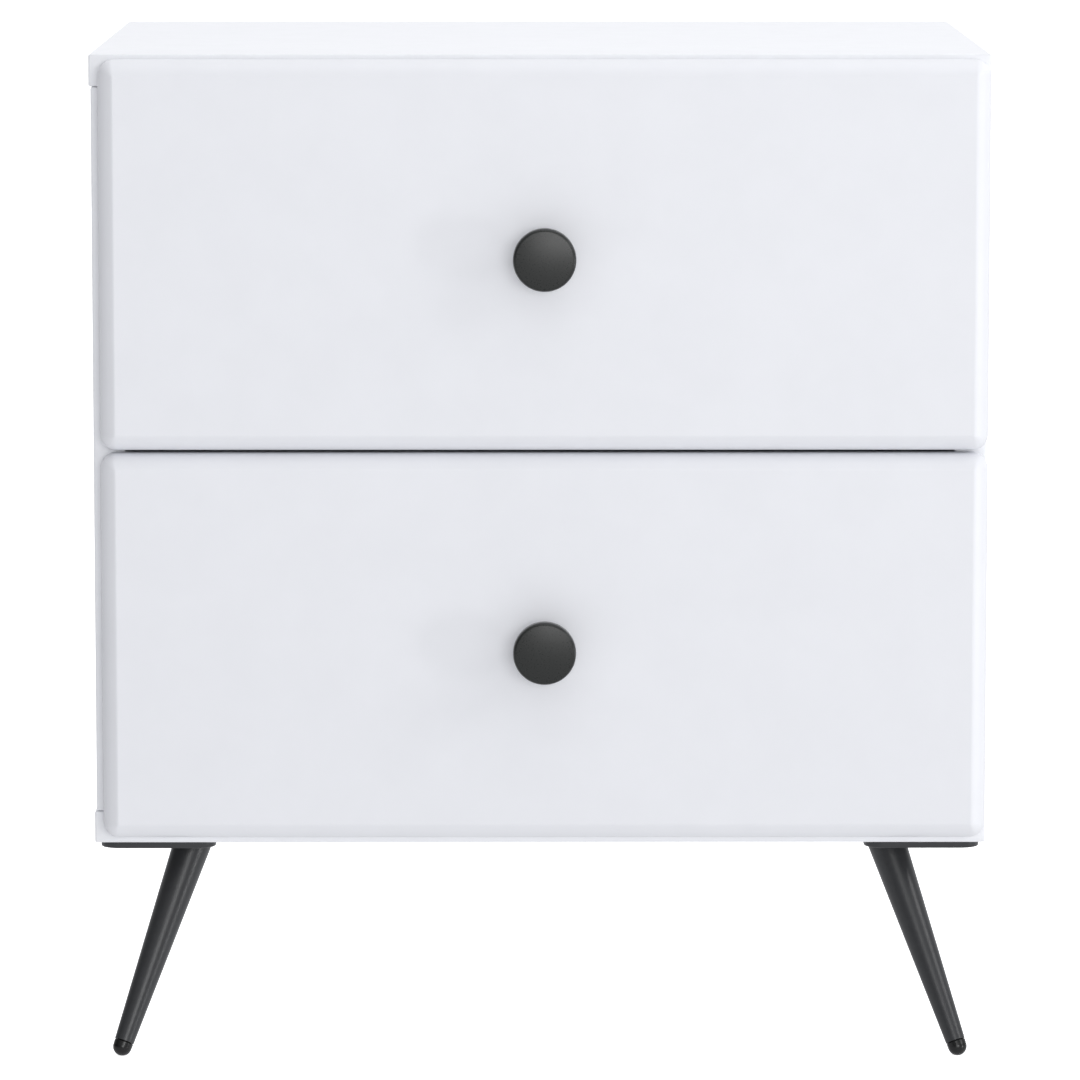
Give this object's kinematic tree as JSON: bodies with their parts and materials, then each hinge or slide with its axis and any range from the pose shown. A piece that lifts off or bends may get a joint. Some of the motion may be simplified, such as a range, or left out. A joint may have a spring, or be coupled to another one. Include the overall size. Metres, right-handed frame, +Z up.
{
  "type": "nightstand with drawers",
  "caption": "White nightstand: overlaid pillow-edged drawer fronts with round dark knobs, roller-runner drawers, and splayed tapered dark metal legs on corner plates.",
  "frame": {"origin": "on the floor, at the middle of the object's box", "axes": "+Z up; -Y out of the drawer fronts; +X to the right of someone facing the fronts"},
  "size_m": [0.45, 0.3718, 0.51],
  "materials": {
    "carcass_board": "white melamine-faced chipboard, satin",
    "front": "white foil-wrapped board, satin",
    "drawer_board": "white melamine-faced chipboard, satin",
    "hardboard": "white-lacquered hardboard, matt",
    "runner_steel": "white epoxy-coated steel",
    "roller": "natural nylon",
    "leg_steel": "anthracite powder coat, semi-gloss",
    "foot_cap": "moulded black plastic",
    "knob": "dark grey lacquer, satin",
    "screw": "zinc-plated"
  },
  "bodies": {
    "carcass": {"top_panel": "carcass_board", "bottom_panel": "carcass_board", "side_panel_left": "carcass_board", "side_panel_right": "carcass_board", "back_panel": "hardboard", "leg_plate_front_left": "leg_steel", "leg_tube_front_left": "leg_steel", "leg_cap_front_left": "foot_cap", "leg_screw_front_left_1": "screw", "leg_screw_front_left_2": "screw", "leg_screw_front_left_3": "screw", "leg_plate_front_right": "leg_steel", "leg_tube_front_right": "leg_steel", "leg_cap_front_right": "foot_cap", "leg_screw_front_right_1": "screw", "leg_screw_front_right_2": "screw", "leg_screw_front_right_3": "screw", "leg_plate_rear_right": "leg_steel", "leg_tube_rear_right": "leg_steel", "leg_cap_rear_right": "foot_cap", "leg_screw_rear_right_1": "screw", "leg_screw_rear_right_2": "screw", "leg_screw_rear_right_3": "screw", "leg_plate_rear_left": "leg_steel", "leg_tube_rear_left": "leg_steel", "leg_cap_rear_left": "foot_cap", "leg_screw_rear_left_1": "screw", "leg_screw_rear_left_2": "screw", "leg_screw_rear_left_3": "screw", "upper_channel_left": "runner_steel", "upper_channel_right": "runner_steel", "lower_channel_left": "runner_steel", "lower_channel_right": "runner_steel"},
    "upper_drawer": {"upper_drawer_front": "front", "upper_drawer_side_left": "drawer_board", "upper_drawer_side_right": "drawer_board", "upper_drawer_back": "drawer_board", "upper_drawer_bottom": "hardboard", "upper_knob": "knob", "upper_knob_screw": "screw", "upper_rail_left": "runner_steel", "upper_rail_right": "runner_steel"},
    "lower_drawer": {"lower_drawer_front": "front", "lower_drawer_side_left": "drawer_board", "lower_drawer_side_right": "drawer_board", "lower_drawer_back": "drawer_board", "lower_drawer_bottom": "hardboard", "lower_knob": "knob", "lower_knob_screw": "screw", "lower_rail_left": "runner_steel", "lower_rail_right": "runner_steel"},
    "upper_front_roller_left": {"upper_front_roller_left": "roller"},
    "upper_rear_roller_left": {"upper_rear_roller_left": "roller"},
    "upper_front_roller_right": {"upper_front_roller_right": "roller"},
    "upper_rear_roller_right": {"upper_rear_roller_right": "roller"},
    "lower_front_roller_left": {"lower_front_roller_left": "roller"},
    "lower_rear_roller_left": {"lower_rear_roller_left": "roller"},
    "lower_front_roller_right": {"lower_front_roller_right": "roller"},
    "lower_rear_roller_right": {"lower_rear_roller_right": "roller"}
  },
  "joints": [
    {"name": "upper_drawer_slide", "type": "slide", "parent": "carcass", "child": "upper_drawer", "axis": [0, -1, 0], "range_m": [0, 0.22]},
    {"name": "lower_drawer_slide", "type": "slide", "parent": "carcass", "child": "lower_drawer", "axis": [0, -1, 0], "range_m": [0, 0.22]},
    {"name": "upper_front_roller_left_spin", "type": "hinge", "parent": "carcass", "child": "upper_front_roller_left", "pos_m": [-0.20205, -0.1341, 0.35395], "axis": [1, 0, 0], "continuous": true},
    {"name": "upper_rear_roller_left_spin", "type": "hinge", "parent": "upper_drawer", "child": "upper_rear_roller_left", "pos_m": [-0.20205, 0.1417, 0.35395], "axis": [1, 0, 0], "continuous": true},
    {"name": "upper_front_roller_right_spin", "type": "hinge", "parent": "carcass", "child": "upper_front_roller_right", "pos_m": [0.20205, -0.1341, 0.35395], "axis": [1, 0, 0], "continuous": true},
    {"name": "upper_rear_roller_right_spin", "type": "hinge", "parent": "upper_drawer", "child": "upper_rear_roller_right", "pos_m": [0.20205, 0.1417, 0.35395], "axis": [1, 0, 0], "continuous": true},
    {"name": "lower_front_roller_left_spin", "type": "hinge", "parent": "carcass", "child": "lower_front_roller_left", "pos_m": [-0.20205, -0.1341, 0.1574], "axis": [1, 0, 0], "continuous": true},
    {"name": "lower_rear_roller_left_spin", "type": "hinge", "parent": "lower_drawer", "child": "lower_rear_roller_left", "pos_m": [-0.20205, 0.1417, 0.1574], "axis": [1, 0, 0], "continuous": true},
    {"name": "lower_front_roller_right_spin", "type": "hinge", "parent": "carcass", "child": "lower_front_roller_right", "pos_m": [0.20205, -0.1341, 0.1574], "axis": [1, 0, 0], "continuous": true},
    {"name": "lower_rear_roller_right_spin", "type": "hinge", "parent": "lower_drawer", "child": "lower_rear_roller_right", "pos_m": [0.20205, 0.1417, 0.1574], "axis": [1, 0, 0], "continuous": true}
  ],
  "couplings": [
    {"joint": "upper_front_roller_left_spin", "follows": "upper_drawer_slide", "rad_per_m": 125},
    {"joint": "upper_rear_roller_left_spin", "follows": "upper_drawer_slide", "rad_per_m": 125},
    {"joint": "upper_front_roller_right_spin", "follows": "upper_drawer_slide", "rad_per_m": 125},
    {"joint": "upper_rear_roller_right_spin", "follows": "upper_drawer_slide", "rad_per_m": 125},
    {"joint": "lower_front_roller_left_spin", "follows": "lower_drawer_slide", "rad_per_m": 125},
    {"joint": "lower_rear_roller_left_spin", "follows": "lower_drawer_slide", "rad_per_m": 125},
    {"joint": "lower_front_roller_right_spin", "follows": "lower_drawer_slide", "rad_per_m": 125},
    {"joint": "lower_rear_roller_right_spin", "follows": "lower_drawer_slide", "rad_per_m": 125}
  ]
}
